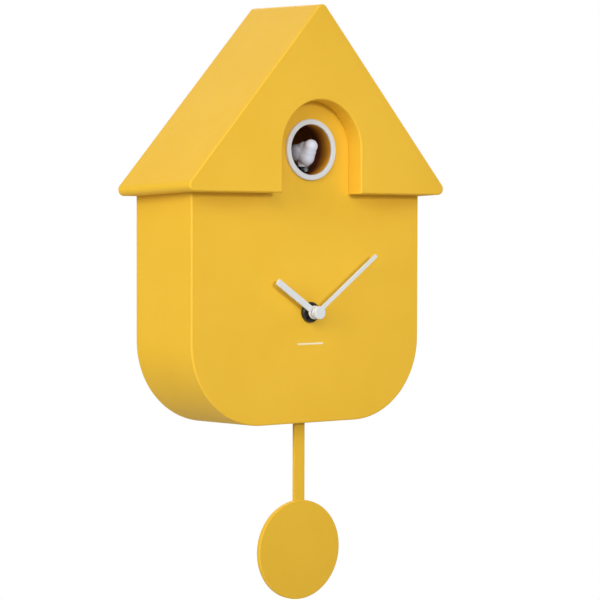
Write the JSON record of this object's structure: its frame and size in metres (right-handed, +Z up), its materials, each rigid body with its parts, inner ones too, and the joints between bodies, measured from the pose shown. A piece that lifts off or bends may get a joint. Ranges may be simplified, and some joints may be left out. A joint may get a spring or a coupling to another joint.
{
  "type": "cuckoo clock",
  "caption": "Wall cuckoo clock with a gabled roof over a rounded body, a bird that slides out of a round porthole, two straight hands and a swinging disc pendulum.",
  "frame": {"origin": "top of the hanging slot, on the wall plane at the back, in the middle of the clock", "axes": "+Z up, +Y into the wall, so the dial faces -Y and +X is to the right of someone reading it"},
  "size_m": [0.2244, 0.0796, 0.4085],
  "materials": {
    "yellow": "satin moulded",
    "light_grey": "satin",
    "bird_grey": "glossy",
    "black": "satin",
    "white_plastic": "satin",
    "brass": "turned",
    "steel": "zinc plated",
    "copper": "enamelled wire",
    "board": "solder mask",
    "paper": "pressed paper",
    "magnet": "matte",
    "battery": "printed sleeve"
  },
  "bodies": {
    "clock": {"body_shell": "yellow", "roof_shell": "yellow", "back_cover": "yellow", "porthole_tunnel": "yellow", "porthole_ring": "light_grey", "movement_case": "black", "movement_back": "black", "dial_nut": "black", "pendulum_drive": "black", "cuckoo_chassis": "black", "sound_chip": "black", "centre_bush": "brass", "hanger_plate": "steel", "hanger_screw_1": "steel", "hanger_screw_2": "steel", "cover_screw_1": "steel", "cover_screw_2": "steel", "cover_screw_3": "steel", "cover_screw_4": "steel", "cover_screw_5": "steel", "chassis_screw_1": "steel", "chassis_screw_2": "steel", "stepper_stator": "steel", "quartz_crystal": "steel", "pivot_pin": "steel", "cuckoo_motor": "steel", "speaker_frame": "steel", "contact_bridge": "steel", "contact_plus": "steel", "contact_minus": "steel", "stepper_coil": "copper", "drive_coil": "copper", "timing_board": "board", "sound_board": "board", "speaker_cone": "paper", "speaker_magnet": "magnet", "movement_battery": "battery", "sound_battery_1": "battery", "sound_battery_2": "battery"},
    "minute_hand": {"minute_hand": "light_grey", "cannon_pinion": "white_plastic", "hand_cap": "light_grey"},
    "hour_hand": {"hour_hand": "light_grey", "hour_wheel": "white_plastic"},
    "minute_wheel": {"minute_wheel": "white_plastic"},
    "setting_knob": {"setting_knob": "white_plastic"},
    "pendulum": {"swing_arm": "white_plastic", "swing_magnet": "steel", "pendulum_rod": "yellow", "pendulum_disc": "yellow"},
    "bird": {"bird_carriage": "black", "bird": "bird_grey", "bird_screw": "steel"},
    "drive_gear": {"drive_gear": "white_plastic"},
    "motor_pinion": {"motor_pinion": "brass"},
    "battery_door": {"battery_door": "yellow"},
    "volume_switch": {"volume_switch": "black"},
    "night_switch": {"night_switch": "black"}
  },
  "joints": [
    {"name": "minute_spin", "type": "hinge", "parent": "clock", "child": "minute_hand", "pos_m": [0, -0.07, -0.1307], "axis": [0, 1, 0], "continuous": true},
    {"name": "hour_spin", "type": "hinge", "parent": "clock", "child": "hour_hand", "pos_m": [0, -0.07, -0.1307], "axis": [0, 1, 0], "continuous": true},
    {"name": "minute_wheel_spin", "type": "hinge", "parent": "clock", "child": "minute_wheel", "pos_m": [0.01, -0.057, -0.1307], "axis": [0, 1, 0], "continuous": true},
    {"name": "setting_knob_spin", "type": "hinge", "parent": "clock", "child": "setting_knob", "pos_m": [0.01, -0.05, -0.1407], "axis": [0, 1, 0], "continuous": true},
    {"name": "pendulum_swing", "type": "hinge", "parent": "clock", "child": "pendulum", "pos_m": [0, -0.0532, -0.1677], "axis": [0, 1, 0], "range_deg": [-5, 5]},
    {"name": "bird_slide", "type": "slide", "parent": "clock", "child": "bird", "axis": [0, -1, 0], "range_m": [0, 0.022]},
    {"name": "drive_gear_spin", "type": "hinge", "parent": "clock", "child": "drive_gear", "pos_m": [0, -0.035, -0.0427], "axis": [1, 0, 0], "range_deg": [-1, 200]},
    {"name": "motor_pinion_spin", "type": "hinge", "parent": "clock", "child": "motor_pinion", "pos_m": [0.004, -0.035, -0.0511], "axis": [1, 0, 0], "range_deg": [-500, 5]},
    {"name": "battery_door_hinge", "type": "hinge", "parent": "clock", "child": "battery_door", "pos_m": [0.062, -0.0012, -0.1368], "axis": [-1, 0, 0], "range_deg": [0, 95]},
    {"name": "volume_slide", "type": "slide", "parent": "clock", "child": "volume_switch", "axis": [0, 0, 1], "range_m": [-0.003, 0.003]},
    {"name": "night_slide", "type": "slide", "parent": "clock", "child": "night_switch", "axis": [0, 0, 1], "range_m": [-0.003, 0.003]}
  ],
  "couplings": [
    {"joint": "hour_spin", "follows": "minute_spin", "ratio": 0.083333},
    {"joint": "minute_wheel_spin", "follows": "minute_spin", "ratio": -0.33333},
    {"joint": "setting_knob_spin", "follows": "minute_spin", "ratio": 1},
    {"joint": "drive_gear_spin", "follows": "bird_slide", "rad_per_m": 156.25},
    {"joint": "motor_pinion_spin", "follows": "bird_slide", "rad_per_m": -390.62}
  ]
}
